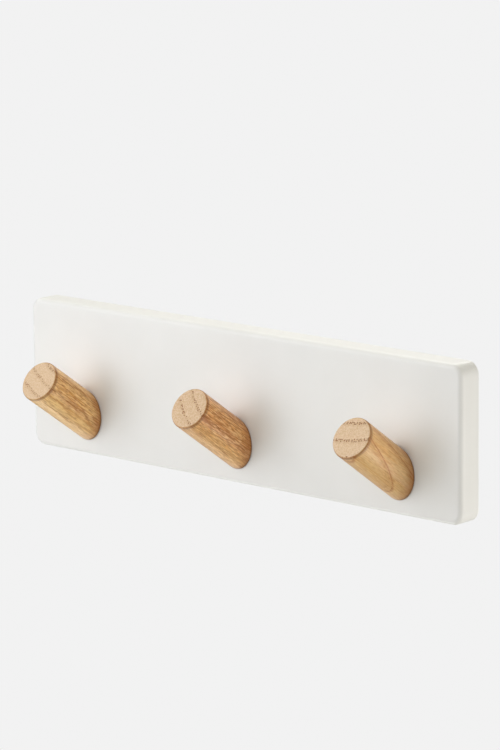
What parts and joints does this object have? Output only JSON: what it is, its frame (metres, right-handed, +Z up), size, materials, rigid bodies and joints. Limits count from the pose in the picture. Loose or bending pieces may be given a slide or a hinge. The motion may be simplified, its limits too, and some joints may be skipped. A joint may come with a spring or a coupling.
{
  "type": "wall-mounted coat rail",
  "caption": "Wall-mounted coat rail: a shallow white steel plate with rounded corners carries a row of slanted round ash pegs that point up and outwards to hold coats.",
  "frame": {"origin": "middle of the rail on the wall's surface, at the centre of the middle wall pad's contact face", "axes": "+X to the right seen from the front, +Y into the wall, +Z up; the pegs point to -Y and up"},
  "size_m": [0.22, 0.0416, 0.06],
  "materials": {
    "white_powder_coat": "fine satin white powder coat",
    "ash_wood": "clear matt oiled ash, open pores",
    "zinc_plated_steel": "zinc-plated sheet",
    "screw_steel": "bright zinc-plated fasteners",
    "grey_rubber": "matt soft rubber"
  },
  "bodies": {
    "root": {"front_shell": "white_powder_coat", "stiffener_bar": "zinc_plated_steel", "back_plate": "zinc_plated_steel", "peg_left": "ash_wood", "peg_middle": "ash_wood", "peg_right": "ash_wood", "peg_screw_left_left": "screw_steel", "peg_screw_left_right": "screw_steel", "peg_screw_middle_left": "screw_steel", "peg_screw_middle_right": "screw_steel", "peg_screw_right_left": "screw_steel", "peg_screw_right_right": "screw_steel", "washer_left_left": "screw_steel", "washer_left_right": "screw_steel", "washer_middle_left": "screw_steel", "washer_middle_right": "screw_steel", "washer_right_left": "screw_steel", "washer_right_right": "screw_steel", "standoff_top_right": "screw_steel", "standoff_top_left": "screw_steel", "standoff_bottom_left": "screw_steel", "standoff_bottom_right": "screw_steel", "plate_screw_top_right": "screw_steel", "plate_screw_top_left": "screw_steel", "plate_screw_bottom_left": "screw_steel", "plate_screw_bottom_right": "screw_steel", "wall_pad_top_right": "grey_rubber", "wall_pad_top_left": "grey_rubber", "wall_pad_bottom_left": "grey_rubber", "wall_pad_bottom_right": "grey_rubber", "wall_pad_middle": "grey_rubber"}
  },
  "joints": []
}
